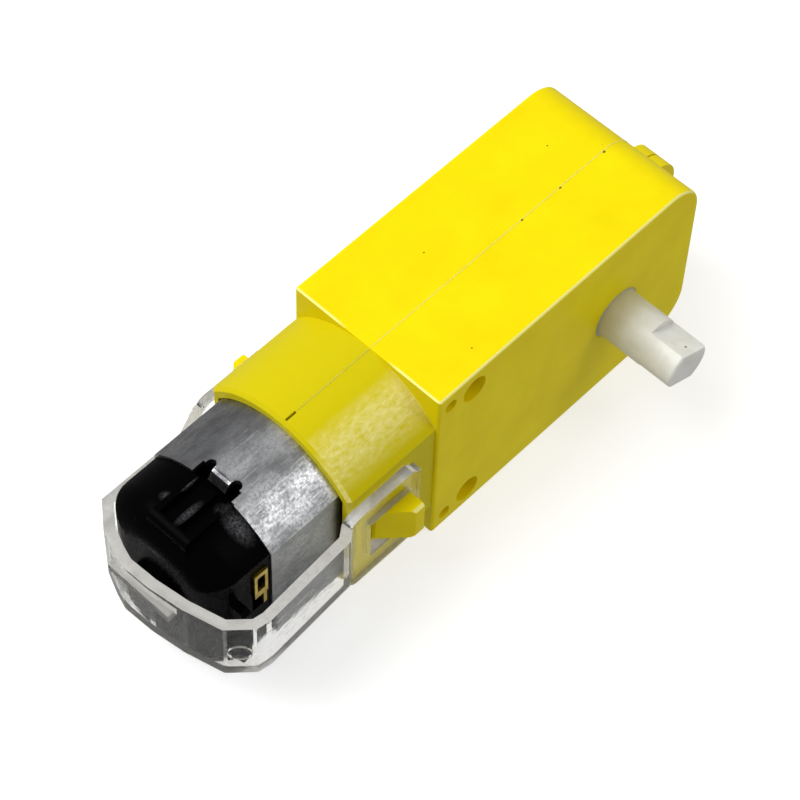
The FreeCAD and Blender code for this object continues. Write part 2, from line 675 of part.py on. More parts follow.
def winding(angle_deg):
    """A coil round one pole's stem: a rounded frame that overhangs both ends of the core."""
    x0, x1 = ARMATURE_X
    frame = box(x0 - COIL_OVER, x1 + COIL_OVER, COIL_Y[0], COIL_Y[1], -COIL_HALF_Z, COIL_HALF_Z)
    upright = [e for e in frame.Edges if e.BoundBox.YLength > 2]
    frame = frame.makeFillet(COIL_ROUND, upright)
    half = STEM_HALF + SEAT_ROOM
    coil = frame.cut(box(x0 - SEAT_ROOM, x1 + SEAT_ROOM, COIL_Y[0] - 1, COIL_Y[1] + 1, -half, half))
    coil.rotate(V(0, 0, 0), X_AXIS, angle_deg)
    return coil


def commutator_segment(angle_deg):
    """One of three copper segments on the hub."""
    sleeve = ring_x(COMMUTATOR_X[0], COMMUTATOR_X[1], COMMUTATOR_R, COMMUTATOR_R - SEGMENT_T)
    return sector_x(sleeve, SEGMENT_SPAN, angle_deg)


def commutator_hub():
    """The plastic sleeve under the segments, with a short end towards the core."""
    hub_r = COMMUTATOR_R - SEGMENT_T - SEAT_ROOM
    return ring_x(COMMUTATOR_X[0], COMMUTATOR_X[1] + 0.8, hub_r, MOTOR_SHAFT_R)


# ---------------------------------------------------------------- strap


def offset_line(points, distance):
    """Points to the left of an open line, at one distance, with mitred corners."""
    result = []
    for i, (x, y) in enumerate(points):
        before = points[max(i - 1, 0)]
        after = points[min(i + 1, len(points) - 1)]
        normals = []
        for a, b in ((before, (x, y)), ((x, y), after)):
            dx, dy = b[0] - a[0], b[1] - a[1]
            length = math.hypot(dx, dy)
            if length > 0:
                normals.append((-dy / length, dx / length))
        nx = sum(n[0] for n in normals) / len(normals)
        ny = sum(n[1] for n in normals) / len(normals)
        scale = distance / (nx * nx + ny * ny)
        result.append((x + nx * scale, y + ny * scale))
    return result


def strap_band(line):
    """A band that follows a line in plan, cut to its height by two sloping planes."""
    reach = 2 * STRAP_HALF_Z
    wide = 20.0
    outer = offset_line(line, STRAP_T)
    ring = line + outer[::-1] + [line[0]]
    band = Part.Face(Part.makePolygon([V(x, y, -reach) for x, y in ring])).extrude(V(0, 0, 2 * reach))
    low, high = STRAP_MID_Z - STRAP_HALF_Z, STRAP_MID_Z + STRAP_HALF_Z
    rise = STRAP_SLOPE * wide
    slab = [V(-60, -wide, low + rise), V(-60, wide, low - rise), V(-60, wide, high - rise),
            V(-60, -wide, high + rise), V(-60, -wide, low + rise)]
    return band.common(Part.Face(Part.makePolygon(slab)).extrude(V(60, 0, 0)))


def strap_loop(side):
    """The taller end of one arm: round corners next to the arm and bevelled ones at the tip."""
    loop_rear, loop_front = STRAP_LOOP_X
    z0, z1 = STRAP_LOOP_Z[side]
    y0, y1 = sorted((side * STRAP_INNER, side * (STRAP_INNER + STRAP_T)))
    loop = box(loop_rear, loop_front, y0, y1, z0, z1)
    across = [e for e in loop.Edges if e.BoundBox.YLength > 1]
    loop = loop.makeFillet(STRAP_LOOP_ROUND, [e for e in across if e.BoundBox.XMax < loop_front - 1])
    across = [e for e in loop.Edges if e.BoundBox.YLength > 1 and e.BoundBox.ZLength < 0.01]
    return loop.makeChamfer(STRAP_TIP_BEVEL, [e for e in across if e.BoundBox.XMin > loop_front - 0.01])


def strap_mark():
    """A round moulding mark: a fine ring sunk in the outer face of the right rear corner."""
    (x0, y0), (x1, y1) = STRAP_RIGHT[-1], STRAP_REAR[0]
    ring = ring_x(-MARK_SUNK, 1.0, MARK_RADII[0], MARK_RADII[1])
    ring.rotate(V(0, 0, 0), V(0, 0, 1), math.degrees(math.atan2(x1 - x0, y0 - y1)))
    ring.translate(V(*MARK_PLACE))
    return ring


def motor_strap():
    """Clear strap: a loop over each hook, an arm along each flat, and a facetted wall behind the bell."""
    inner = STRAP_INNER
    loop_rear, loop_front = STRAP_LOOP_X
    start = [(loop_front, -inner), (loop_rear, -inner)]
    end = [(loop_rear, inner), (loop_front, inner)]
    band = strap_band(start + list(STRAP_RIGHT + STRAP_REAR + STRAP_LEFT) + end)
    bar = box(STRAP_BAR_X[0], STRAP_BAR_X[1], STRAP_BAR_Y[0], STRAP_BAR_Y[1], STRAP_BAR_Z, STRAP_HALF_Z)
    body = fuse([band, strap_loop(-1), strap_loop(1), bar])
    cuts = [strap_mark()]
    for side in (-1, 1):
        y0, y1 = sorted((side * (inner - 1), side * (inner + STRAP_T + 1)))
        cuts.append(box(STRAP_WINDOW_X[0], STRAP_WINDOW_X[1], y0, y1, STRAP_WINDOW_Z[0], STRAP_WINDOW_Z[1]))
    return cut(body, cuts)


# ---------------------------------------------------------------- build

os.makedirs("parts", exist_ok=True)

whole_case = case_whole()
export("right_housing", half(whole_case, -1))
export("left_housing", half(whole_case, 1))
export("case_screws", *[case_screw(x, z) for x, z in SCREW_PLACES])
export("idler_pin", rod_y(-PIN_END, PIN_END, PIN_R - 0.01, IDLER_X))
export("output_pin", rod_y(-8.6, PIN_END, PIN_R - 0.01))
export("output_shaft", output_shaft())
export("output_gear", output_gear())
export("third_gear", third_gear())
export("second_gear", second_gear())
export("crown_gear", crown_gear())

export("motor_can", motor_can())
export("motor_end_bell", end_bell())
for name, (x0, x1) in (("front_bush", FRONT_BUSH_X), ("rear_bush", REAR_BUSH_X)):
    export(name, ring_x(x0, x1, BUSH_R - SEAT_ROOM, MOTOR_SHAFT_R + BUSH_ROOM))
export("upper_magnet", magnet(1))
export("lower_magnet", magnet(-1))
export("magnet_clip", magnet_clip())
export("right_terminal", terminal(-1))
export("left_terminal", terminal(1))
export("right_brush", brush(-1))
export("left_brush", brush(1))
export("motor_strap", motor_strap())

export("motor_shaft", rod_x(MOTOR_SHAFT_X[0], MOTOR_SHAFT_X[1], MOTOR_SHAFT_R))
pinion = gear_x(TEETH_PINION, PINION_X[0], PINION_X[1])
export("motor_pinion", pinion.cut(rod_x(PINION_X[0] - 1, PINION_X[1] + 1, MOTOR_SHAFT_R)))
export("armature_core", armature_core())
export("armature_windings", *[winding(120 * k) for k in range(3)])
export("commutator_hub", commutator_hub())
export("commutator_segments", *[commutator_segment(120 * k + 60) for k in range(3)])
export("thrust_washers", *[ring_x(x0, x1, WASHER_R, MOTOR_SHAFT_R) for x0, x1 in WASHERS_X])
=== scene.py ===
import math

import bmesh
import bpy
from mathutils import Matrix, Vector


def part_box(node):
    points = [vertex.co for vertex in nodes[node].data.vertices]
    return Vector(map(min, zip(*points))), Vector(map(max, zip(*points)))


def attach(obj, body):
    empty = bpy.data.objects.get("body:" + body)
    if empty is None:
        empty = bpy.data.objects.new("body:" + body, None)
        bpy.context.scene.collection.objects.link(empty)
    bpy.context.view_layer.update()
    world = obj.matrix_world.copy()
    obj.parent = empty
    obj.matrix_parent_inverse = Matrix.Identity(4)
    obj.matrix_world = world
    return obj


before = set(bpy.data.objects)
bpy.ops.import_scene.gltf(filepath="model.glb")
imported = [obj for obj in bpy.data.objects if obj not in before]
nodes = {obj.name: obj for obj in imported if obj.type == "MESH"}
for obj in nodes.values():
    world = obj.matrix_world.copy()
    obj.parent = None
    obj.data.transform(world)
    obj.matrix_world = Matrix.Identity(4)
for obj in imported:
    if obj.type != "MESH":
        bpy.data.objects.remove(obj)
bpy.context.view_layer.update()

# Places from the frame, in metres. The motor lies with its length along X and its shaft towards -Y.
MM = 0.001
case_low, case_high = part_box("right_housing")
can_low, can_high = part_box("motor_can")
FLOOR_Z = case_low.z
CASE_TOP = case_high.z
PARTING_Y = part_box("left_housing")[0].y
MID_Y = (can_low.y + can_high.y) / 2
BLOCK_REAR = -25.6 * MM
CORNER_R = 4.4 * MM
BLOCK_FRONT = 11.2 * MM
COLLAR_R = 11.2 * MM
TAB_TOP = 3.7 * MM

# The same places in millimetres, for the materials' patterns
TOP_MM = CASE_TOP / MM
MID_MM = MID_Y / MM
REAR_MM = BLOCK_REAR / MM
COLLAR_FLAT_MM = 8.95


# ---------------------------------------------------------------- building a material


class Look:
    """A Principled material under construction. Its patterns are laid out in millimetres."""

    def __init__(self, name, colour, rough, constants=()):
        self.material = bpy.data.materials.new(name)
        self.material.use_nodes = True
        self.tree = self.material.node_tree
        self.tree.nodes.clear()
        output = self.tree.nodes.new("ShaderNodeOutputMaterial")
        self.shader = self.tree.nodes.new("ShaderNodeBsdfPrincipled")
        self.tree.links.new(self.shader.outputs["BSDF"], output.inputs["Surface"])
        self.shader.inputs["Base Color"].default_value = (*colour, 1)
        self.shader.inputs["Roughness"].default_value = rough
        for socket, value in dict(constants).items():
            self.shader.inputs[socket].default_value = value

    def node(self, kind, **settings):
        made = self.tree.nodes.new(kind)
        for key, value in settings.items():
            setattr(made, key, value)
        return made

    def feed(self, value, socket):
        """Give a socket a link, a colour or a number."""
        if isinstance(value, bpy.types.NodeSocket):
            self.tree.links.new(value, socket)
        elif isinstance(value, tuple) and socket.type == "RGBA":
            socket.default_value = (*value, 1)
        else:
            socket.default_value = value

    def place(self, stretch=(1, 1, 1), shift=(0, 0, 0)):
        """Object position in millimetres, stretched and shifted."""
        coordinates = self.node("ShaderNodeTexCoord")
        mapping = self.node("ShaderNodeMapping")
        mapping.inputs["Scale"].default_value = [s / MM for s in stretch]
        mapping.inputs["Location"].default_value = shift
        self.feed(coordinates.outputs["Object"], mapping.inputs["Vector"])
        return mapping.outputs["Vector"]

    def facing(self):
        """The surface's own normal, as X, Y and Z."""
        coordinates = self.node("ShaderNodeTexCoord")
        split = self.node("ShaderNodeSeparateXYZ")
        self.feed(coordinates.outputs["Normal"], split.inputs["Vector"])
        return split.outputs

    def axes(self):
        """Position in millimetres, as X, Y and Z."""
        split = self.node("ShaderNodeSeparateXYZ")
        self.feed(self.place(), split.inputs["Vector"])
        return split.outputs

    def noise(self, vector, scale, detail=3.0, rough=0.55):
        made = self.node("ShaderNodeTexNoise")
        made.inputs["Scale"].default_value = scale
        made.inputs["Detail"].default_value = detail
        made.inputs["Roughness"].default_value = rough
        self.feed(vector, made.inputs["Vector"])
        return made.outputs["Fac"]

    def cells(self, vector, scale):
        """Distance to the nearest of scattered points, and a random number for each point."""
        made = self.node("ShaderNodeTexVoronoi")
        made.inputs["Scale"].default_value = scale
        self.feed(vector, made.inputs["Vector"])
        split = self.node("ShaderNodeSeparateColor")
        self.feed(made.outputs["Color"], split.inputs["Color"])
        return made.outputs["Distance"], split.outputs["Red"]

    def ramp(self, value, low, high, start=0.0, end=1.0):
        """A clamped straight map of a value."""
        made = self.node("ShaderNodeMapRange")
        for name, number in (("From Min", low), ("From Max", high), ("To Min", start), ("To Max", end)):
            made.inputs[name].default_value = number
        self.feed(value, made.inputs["Value"])
        return made.outputs["Result"]

    def math(self, operation, a, b=0.0):
        made = self.node("ShaderNodeMath", operation=operation)
        self.feed(a, made.inputs[0])
        self.feed(b, made.inputs[1])
        return made.outputs["Value"]

    def product(self, first, *others):
        """Several values multiplied."""
        for other in others:
            first = self.math("MULTIPLY", first, other)
        return first

    def blend(self, factor, a, b):
        """A mix of two colours."""
        made = self.node("ShaderNodeMix", data_type="RGBA")
        self.feed(factor, made.inputs["Factor"])
        first, second = [s for s in made.inputs if s.type == "RGBA"]
        self.feed(a, first)
        self.feed(b, second)
        return [s for s in made.outputs if s.type == "RGBA"][0]

    def specks(self, scale, size, share, shift=(0, 0, 0)):
        """Scattered round specks: 1 inside a speck. A share of the points carries one."""
        distance, chance = self.cells(self.place(shift=shift), scale)
        dot = self.ramp(distance, size * scale, size * scale * 0.6)
        return self.math("MULTIPLY", dot, self.math("LESS_THAN", chance, share))

    def spot(self, centre, radii, soft=0.6):
        """One soft ellipsoid of influence at a place in millimetres."""
        vector = self.node("ShaderNodeVectorMath", operation="SUBTRACT")
        self.feed(self.place(), vector.inputs[0])
        vector.inputs[1].default_value = centre
        scaled = self.node("ShaderNodeVectorMath", operation="DIVIDE")
        self.feed(vector.outputs["Vector"], scaled.inputs[0])
        scaled.inputs[1].default_value = radii
        length = self.node("ShaderNodeVectorMath", operation="LENGTH")
        self.feed(scaled.outputs["Vector"], length.inputs[0])
        return self.ramp(length.outputs["Value"], 1.0, soft)

    def colour(self, value):
        self.feed(value, self.shader.inputs["Base Color"])

    def rough(self, value):
        self.feed(value, self.shader.inputs["Roughness"])

    def bump(self, height, strength, depth_mm=0.05):
        made = self.node("ShaderNodeBump")
        made.inputs["Strength"].default_value = strength
        made.inputs["Distance"].default_value = depth_mm * MM
        self.feed(height, made.inputs["Height"])
        self.feed(made.outputs["Normal"], self.shader.inputs["Normal"])


def dress(material, *names):
    """Give a material to CAD nodes."""
    for name in names:
        mesh = nodes[name].data
        mesh.materials.clear()
        mesh.materials.append(material)


# ---------------------------------------------------------------- the materials

LEMON = (0.90, 0.74, 0.003)
LEMON_DEEP = (0.84, 0.68, 0.002)
LEMON_OLIVE = (0.60, 0.51, 0.004)
# Painted highlight colour of the collar's streak
LEMON_HIGHLIGHT = (0.93, 0.86, 0.42)
# Painted highlight colour of the edge lines
LEMON_EDGE_HIGHLIGHT = (1.0, 0.97, 0.38)
SPECK_BROWN = (0.16, 0.11, 0.005)
TOP_SPECKS = ((6.7, 8.7, 0.22), (0.5, 8.8, 0.18), (-4.9, 8.8, 0.18), (-14.2, 12.8, 0.13), (3.4, 13.1, 0.12))
HOLE_X = -20.8
HOLE_Z = 8.75
HOLE_GLOW_RADII = (1.56, 9.25, 1.56)
# Where the painted highlight on the upper rear edge fades in, off the middle in millimetres
REAR_HIGHLIGHT_START = (2.6, 4.2)


def collar_mask(look, x, off_middle):
    """1 on the collar, 0 on the block and on the hooks."""
    behind = look.ramp(x, REAR_MM + 0.1, REAR_MM - 0.1)
    return look.product(behind, look.ramp(off_middle, COLLAR_FLAT_MM + 0.15, COLLAR_FLAT_MM + 0.05))


def collar_painted_highlight(look, collar, right):
    """A painted highlight: the pale streak painted along the right part of the collar's round top."""
    cloud = look.ramp(look.noise(look.place((0.5, 1, 1)), 2.2, 6.0, 0.7), 0.30, 0.66)
    return look.product(look.ramp(right, -0.26, -0.44), look.ramp(right, -0.76, -0.60), collar, cloud)


def case_edge_highlights(look, collar, right, x, z, off_middle):
    """Painted highlights: pale lines painted on two edges, the rounded upper right one and the upper rear
    one by the collar.
    """
    level = look.facing()["Z"]
    rounded = look.product(look.ramp(right, -0.20, -0.45), look.ramp(right, -0.97, -0.85))
    rounded = look.product(rounded, look.ramp(collar, 1.0, 0.0), look.ramp(level, 0.2, 0.4))
    rear = look.ramp(x, REAR_MM + 0.3, REAR_MM + 0.18)
    rear = look.product(rear, look.ramp(z, TOP_MM - 0.08, TOP_MM - 0.02))
    rear = look.product(rear, look.ramp(off_middle, *REAR_HIGHLIGHT_START))
    return look.math("MAXIMUM", rounded, rear)


def case_marks(look):
    """Dark specks: scattered ones, and a few placed on the top face."""
    marks = look.math("MAXIMUM", look.specks(0.42, 0.10, 0.10), look.specks(1.3, 0.04, 0.05, (3, 7, 2)))
    for x, y, r in TOP_SPECKS:
        marks = look.math("MAXIMUM", marks, look.spot((x, y, TOP_MM), (r, r * 0.7, 0.1)))
    return marks


def hole_glow(look):
    """A faint emission in the two cross holes, in place of the light that comes through the plastic."""
    glow = 0.0
    for z in (-HOLE_Z, HOLE_Z):
        glow = look.math("MAXIMUM", glow, look.spot((HOLE_X, MID_MM, z), HOLE_GLOW_RADII, 0.97))
    return look.product(glow, 0.36)


def yellow_case():
    """Moulded lemon plastic: an even block, an olive collar with a painted highlight streak, painted
    highlights on two edges, and specks.
    """
    depth = {"Subsurface Weight": 0.10, "Subsurface Scale": MM, "Subsurface Radius": (1.2, 0.9, 0.05),
             "Specular IOR Level": 0.05, "Emission Color": (0.85, 0.70, 0.0, 1)}
    look = Look("yellow_case", LEMON, 0.34, depth)
    x, y, z = look.axes()
    off_middle = look.math("ABSOLUTE", look.math("SUBTRACT", y, MID_MM))
    right = look.facing()["Y"]
    collar = collar_mask(look, x, off_middle)
    streak = collar_painted_highlight(look, collar, right)
    edges = case_edge_highlights(look, collar, right, x, z, off_middle)
    tone = look.ramp(look.noise(look.place(), 0.16), 0.35, 0.65)
    colour = look.blend(tone, LEMON_DEEP, LEMON)
    colour = look.blend(look.product(collar, 0.9), colour, LEMON_OLIVE)
    # Painted highlight: the pale streak on the collar's round top
    colour = look.blend(look.product(streak, 0.62), colour, LEMON_HIGHLIGHT)
    # Painted highlights: the pale lines on two edges
    colour = look.blend(look.product(edges, 0.7), colour, LEMON_EDGE_HIGHLIGHT)
    look.colour(look.blend(case_marks(look), colour, SPECK_BROWN))
    look.feed(hole_glow(look), look.shader.inputs["Emission Strength"])
    wear = look.noise(look.place((0.5, 2.5, 2.5)), 1.4, 5.0, 0.65)
    base = look.ramp(wear, 0.35, 0.7, 0.30, 0.50)
    look.rough(look.math("ADD", base, look.product(streak, 0.12)))
    grain = look.noise(look.place(), 5.0, 4.0, 0.6)
    look.bump(look.math("ADD", grain, look.product(wear, 1.2)), 0.22, 0.03)
    return look.material


# Painted shade at the crimp lip: centre and radii in millimetres
CRIMP_LIP_SHADE = ((-44.5, MID_MM, 9.6), (0.75, 1.3, 1.4))


def zinc_can():
    """Drawn, zinc-plated steel: lengthwise draw lines, cloudy plating, dark pits and bright scratches;
    painted shade on its +Y side, on the flat and at the crimp lip.
    """
    look = Look("zinc_can", (0.60, 0.61, 0.62), 0.3, {"Metallic": 1.0})
    lines = look.noise(look.place((0.12, 1.6, 1.6)), 2.4, 6.0, 0.7)
    cloud = look.noise(look.place((0.7, 1, 1)), 0.55, 5.0, 0.62)
    mottle = look.noise(look.place(), 3.2, 5.0, 0.7)
    colour = look.blend(look.ramp(cloud, 0.36, 0.62), (0.33, 0.335, 0.34), (0.74, 0.75, 0.76))
    colour = look.blend(look.ramp(mottle, 0.44, 0.60, 0.0, 0.6), colour, (0.20, 0.205, 0.21))
    colour = look.blend(look.ramp(lines, 0.54, 0.66, 0.0, 0.65), colour, (0.92, 0.92, 0.93))
    pits = look.math("MAXIMUM", look.specks(0.75, 0.10, 0.22), look.specks(2.0, 0.06, 0.15, (5, 1, 9)))
    # Painted shade: darker towards the +Y side, and darker on the flat that faces -Y
    shade = look.ramp(look.facing()["Y"], -0.35, 0.25, 0.0, 0.72)
    colour = look.blend(shade, colour, (0.10, 0.10, 0.105))
    flat = look.ramp(look.facing()["Y"], -0.90, -0.98, 0.0, 0.75)
    colour = look.blend(flat, colour, (0.13, 0.135, 0.13))
    # Painted shade: a dark spot at the crimp lip
    lip = look.spot(*CRIMP_LIP_SHADE, 0.7)
    colour = look.blend(look.math("MULTIPLY", lip, 0.85), colour, (0.07, 0.07, 0.075))
    look.colour(look.blend(pits, colour, (0.05, 0.05, 0.055)))
    look.rough(look.ramp(mottle, 0.3, 0.7, 0.26, 0.48))
    height = look.math("ADD", look.math("MULTIPLY", lines, 1.4), mottle)
    look.bump(look.math("SUBTRACT", height, pits), 0.35, 0.03)
    return look.material


# Pale patches painted on the end bell: centre and radii in millimetres, and strength
BELL_PALE_PATCHES = (
    ((-46.4, 5.2, 8.8), (1.2, 2.9, 2.0), 1.0),
    ((-49.0, 11.5, 8.6), (0.8, 0.9, 1.6), 1.0),
    ((-49.0, 8.6, 10.0), (1.9, 0.5, 0.5), 0.7),
    ((-46.8, 10.7, 10.0), (1.3, 0.14, 0.6), 0.8),
    ((-51.6, 12.6, 7.0), (0.5, 0.35, 1.0), 0.9),
    ((-52.4, 9.6, 6.2), (0.5, 1.0, 0.35), 0.8),
)


def black_nylon():
    """Black moulded cap: satin, with a few pale, rougher patches and light dust."""
    look = Look("black_nylon", (0.001, 0.001, 0.001), 0.3, {"Specular IOR Level": 0.012})
    fine = look.noise(look.place(), 4.5, 6.0, 0.75)
    pale_patch = 0.0
    for centre, radii, strength in BELL_PALE_PATCHES:
        pale_patch = look.math("MAXIMUM", pale_patch, look.math("MULTIPLY", look.spot(centre, radii, -0.2), strength))
    pale_patch = look.math("MULTIPLY", pale_patch, look.ramp(fine, 0.38, 0.66))
    dust = look.math("MULTIPLY", look.specks(1.1, 0.05, 0.08), 0.5)
    # The pale patches painted into the bell's colour
    colour = look.blend(pale_patch, (0.001, 0.001, 0.001), (0.17, 0.17, 0.18))
    look.colour(look.blend(dust, colour, (0.35, 0.35, 0.33)))
    look.rough(look.math("ADD", look.ramp(fine, 0.4, 0.7, 0.22, 0.36), look.math("MULTIPLY", pale_patch, 0.25)))
    look.bump(fine, 0.3, 0.03)
    return look.material


# Painted shade on the strap's rear wall: it fades in between these x in millimetres
STRAP_SHADE_X = (-50.6, -52.0)


def clear_strap():
    """Clear moulded plastic with milky frosted edges, flow marks and faint scratches, and a painted shade: a
    darker tint behind the bend.
    """
    look = Look("clear_strap", (0.97, 0.965, 0.94), 0.08, {"IOR": 1.16})
    up = look.math("ABSOLUTE", look.facing()["Z"])
    fine = look.ramp(look.noise(look.place(), 1.5, 5.0, 0.7), 0.35, 0.65, 0.65, 1.0)
    edge = look.math("MULTIPLY", look.ramp(up, 0.6, 0.9), fine)
    flow = look.noise(look.place((0.6, 1, 1)), 0.7, 4.0)
    scratch = look.ramp(look.noise(look.place((0.3, 3, 3)), 2.5, 5.0, 0.7), 0.6, 0.72)
    rough = look.math("ADD", look.ramp(flow, 0.3, 0.7, 0.01, 0.07), look.math("MULTIPLY", scratch, 0.15))
    look.rough(look.math("ADD", rough, look.math("MULTIPLY", edge, 0.40)))
    # Painted shade: the rear wall behind the bend is tinted darker
    rear = look.ramp(look.axes()["X"], *STRAP_SHADE_X)
    body = look.blend(rear, (0.985, 0.98, 0.965), (0.74, 0.735, 0.72))
    look.colour(look.blend(edge, body, (0.58, 0.565, 0.53)))
    look.feed(look.ramp(edge, 0.0, 1.0, 1.0, 0.45), look.shader.inputs["Transmission Weight"])
    look.bump(look.math("ADD", flow, look.math("MULTIPLY", scratch, 0.3)), 0.35, 0.08)
    return look.material


# Painted shade near the shaft's foot: it fades in between these y in millimetres
SHAFT_FOOT_SHADE_Y = (-3.4, 0.2)
SHAFT_SPECK = ((0.6, -8.2, 1.9), (0.16, 0.16, 0.5))


def shaft_nylon():
    """Translucent white nylon with one dark speck, and painted shade: a yellow-brown tint with the case's
    yellow light near its foot, and darker on its underside.
    """
    depth = {"Subsurface Weight": 0.5, "Subsurface Scale": MM, "Subsurface Radius": (1.6, 1.4, 1.1)}
    look = Look("white_nylon", (0.93, 0.93, 0.90), 0.36, depth)
    cloud = look.ramp(look.noise(look.place(), 0.6), 0.35, 0.7)
    colour = look.blend(cloud, (0.76, 0.76, 0.71), (0.86, 0.86, 0.83))
    # Painted shade with yellow light from the case: darker and yellower towards the foot
    foot = look.ramp(look.axes()["Y"], *SHAFT_FOOT_SHADE_Y)
    colour = look.blend(look.math("MULTIPLY", foot, 0.75), colour, (0.52, 0.46, 0.20))
    # Painted shade: darker on the faces that look down
    underside_shade = look.ramp(look.facing()["Z"], 0.1, -0.8, 0.0, 0.35)
    colour = look.blend(underside_shade, colour, (0.45, 0.42, 0.30))
    speck = look.spot(*SHAFT_SPECK)
    look.colour(look.blend(speck, colour, (0.10, 0.09, 0.06)))
    rings = look.noise(look.place((0.3, 6, 0.3)), 1.0, 4.0)
    look.rough(look.ramp(rings, 0.3, 0.7, 0.3, 0.5))
    look.bump(rings, 0.22, 0.03)
    return look.material


def milky_nylon(name, colour, warm):
    """Translucent white nylon, warmer in its depth, with fine machining rings."""
    depth = {"Subsurface Weight": 0.55, "Subsurface Scale": MM, "Subsurface Radius": (1.6, 1.4, 1.1)}
    look = Look(name, colour, 0.38, depth)
    look.colour(look.blend(look.ramp(look.noise(look.place(), 0.6), 0.35, 0.7), warm, colour))
    rings = look.noise(look.place((0.3, 6, 0.3)), 1.0, 4.0)
    look.rough(look.ramp(rings, 0.3, 0.7, 0.3, 0.5))
    look.bump(rings, 0.22, 0.03)
    return look.material


def metal(name, bright, dark, rough, stretch=(1, 1, 1)):
    """Worked metal: tarnish in clouds and fine tool lines."""
    look = Look(name, bright, rough, {"Metallic": 1.0})
    cloud = look.ramp(look.noise(look.place(), 0.9, 4.0), 0.35, 0.65)
    lines = look.noise(look.place(stretch), 5.0, 4.0, 0.65)
    look.colour(look.blend(cloud, dark, bright))
    look.rough(look.ramp(lines, 0.3, 0.7, rough * 0.7, rough * 1.4))
    look.bump(lines, 0.3, 0.02)
    return look.material


def plain_solid(name, light, dark, rough, grain=3.0):
    """Pressed, sintered or moulded stock with a visible grain."""
    look = Look(name, light, rough)
    fine = look.noise(look.place(), grain, 5.0, 0.7)
    look.colour(look.blend(look.ramp(fine, 0.35, 0.65), dark, light))
    look.rough(look.ramp(fine, 0.3, 0.7, rough * 0.8, min(rough * 1.25, 1.0)))
    look.bump(fine, 0.4, 0.04)
    return look.material


def copper_wire():
    """Enamelled wire: close parallel turns round each pole."""
    look = Look("copper", (0.72, 0.30, 0.12), 0.3, {"Metallic": 1.0})
    turns = look.node("ShaderNodeTexWave", wave_type="BANDS", bands_direction="Y")
    turns.inputs["Scale"].default_value = 1.6
    turns.inputs["Distortion"].default_value = 0.6
    look.feed(look.place(), turns.inputs["Vector"])
    look.colour(look.blend(turns.outputs["Fac"], (0.35, 0.11, 0.04), (0.80, 0.36, 0.15)))
    look.bump(turns.outputs["Fac"], 0.6, 0.08)
    return look.material


def core_steel():
    """Stacked steel laminations, edge on along X."""
    look = Look("core_steel", (0.45, 0.46, 0.48), 0.4, {"Metallic": 1.0})
    stack = look.node("ShaderNodeTexWave", wave_type="BANDS", bands_direction="X")
    stack.inputs["Scale"].default_value = 0.9
    look.feed(look.place(), stack.inputs["Vector"])
    look.colour(look.blend(stack.outputs["Fac"], (0.22, 0.22, 0.23), (0.50, 0.51, 0.53)))
    look.bump(stack.outputs["Fac"], 0.5, 0.05)
    return look.material


def dress_all():
    """A material for every CAD node. Returns the one that new pieces share."""
    lemon = yellow_case()
    zinc = zinc_can()
    black = black_nylon()
    gear = milky_nylon("gear_nylon", (0.88, 0.88, 0.83), (0.80, 0.78, 0.68))
    pin = metal("steel_pin", (0.72, 0.72, 0.73), (0.50, 0.50, 0.51), 0.22, (8, 1, 8))
    bronze = metal("bronze_bush", (0.62, 0.43, 0.20), (0.40, 0.26, 0.11), 0.4)
    ferrite = plain_solid("ferrite", (0.075, 0.075, 0.08), (0.04, 0.04, 0.043), 0.6)
    carbon = plain_solid("carbon", (0.05, 0.05, 0.05), (0.02, 0.02, 0.02), 0.55)
    copper = copper_wire()
    brass = metal("brass_strip", (0.52, 0.38, 0.06), (0.26, 0.18, 0.02), 0.34, (1, 1, 6))
    dress(lemon, "right_housing", "left_housing")
    dress(zinc, "motor_can")
    dress(black, "motor_end_bell")
    dress(clear_strap(), "motor_strap")
    dress(shaft_nylon(), "output_shaft")
    dress(gear, "output_gear", "third_gear", "second_gear", "crown_gear")
    dress(metal("screw_steel", (0.30, 0.30, 0.31), (0.12, 0.12, 0.13), 0.35), "case_screws")
    dress(pin, "idler_pin", "output_pin", "magnet_clip", "motor_shaft")
    dress(brass, "right_terminal", "left_terminal")
    dress(bronze, "front_bush", "rear_bush")
    dress(metal("pinion_brass", (0.84, 0.64, 0.25), (0.62, 0.44, 0.13), 0.25), "motor_pinion")
    dress(ferrite, "upper_magnet", "lower_magnet")
    dress(carbon, "right_brush", "left_brush")
    dress(core_steel(), "armature_core")
    dress(copper, "armature_windings", "commutator_segments")
    dress(plain_solid("hub_resin", (0.25, 0.11, 0.05), (0.14, 0.06, 0.03), 0.45), "commutator_hub")
    dress(plain_solid("washer_fibre", (0.80, 0.70, 0.50), (0.62, 0.50, 0.32), 0.7, 6.0), "thrust_washers")
    return lemon


# ---------------------------------------------------------------- pieces


RIDGE_START = -35.0 * MM
RIDGE_LAP = 0.15 * MM
RIDGE_HALF = 0.10 * MM
RIDGE_RISE = 0.05 * MM
RIDGE_SHIFT = 0.09 * MM
ROUND_STEPS = 12


def outline_points():
    """The case's side outline over the top, from the collar's slot to the foot of the tab: x and z."""
    centre_x = BLOCK_FRONT - CORNER_R
    centre_z = CASE_TOP - CORNER_R
    points = [(RIDGE_START, COLLAR_R), (BLOCK_REAR, COLLAR_R), (BLOCK_REAR + RIDGE_LAP, CASE_TOP)]
    for i in range(ROUND_STEPS + 1):
        angle = math.pi / 2 * (1 - i / ROUND_STEPS)
        points.append((centre_x + CORNER_R * math.cos(angle), centre_z + CORNER_R * math.sin(angle)))
    points.append((BLOCK_FRONT, TAB_TOP))
    return points


